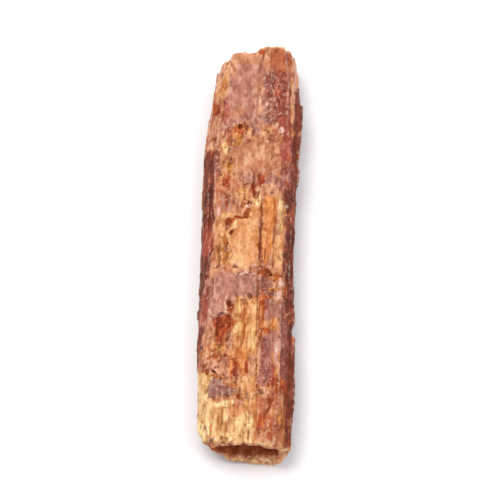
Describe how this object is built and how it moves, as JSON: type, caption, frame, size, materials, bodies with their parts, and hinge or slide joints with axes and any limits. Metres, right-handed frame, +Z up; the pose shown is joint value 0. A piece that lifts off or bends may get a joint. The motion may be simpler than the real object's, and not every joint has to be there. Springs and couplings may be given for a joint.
{
  "type": "rough kyanite crystal",
  "caption": "Rough orange kyanite blade with laths, skin plates, pits and a hollow broken end, lying on its flat back cleavage face.",
  "frame": {"origin": "centre of the crystal's footprint, on the flat back cleavage face that it rests on", "axes": "+Z up out of the broad front face, +Y along the blade from the hollow near break to the rounded far break, +X across the blade to the right as seen from the near break"},
  "size_m": [0.0094, 0.0451, 0.0041],
  "materials": {
    "orange_kyanite": "satin"
  },
  "bodies": {
    "root": {"kyanite_crystal": "orange_kyanite"}
  },
  "joints": []
}
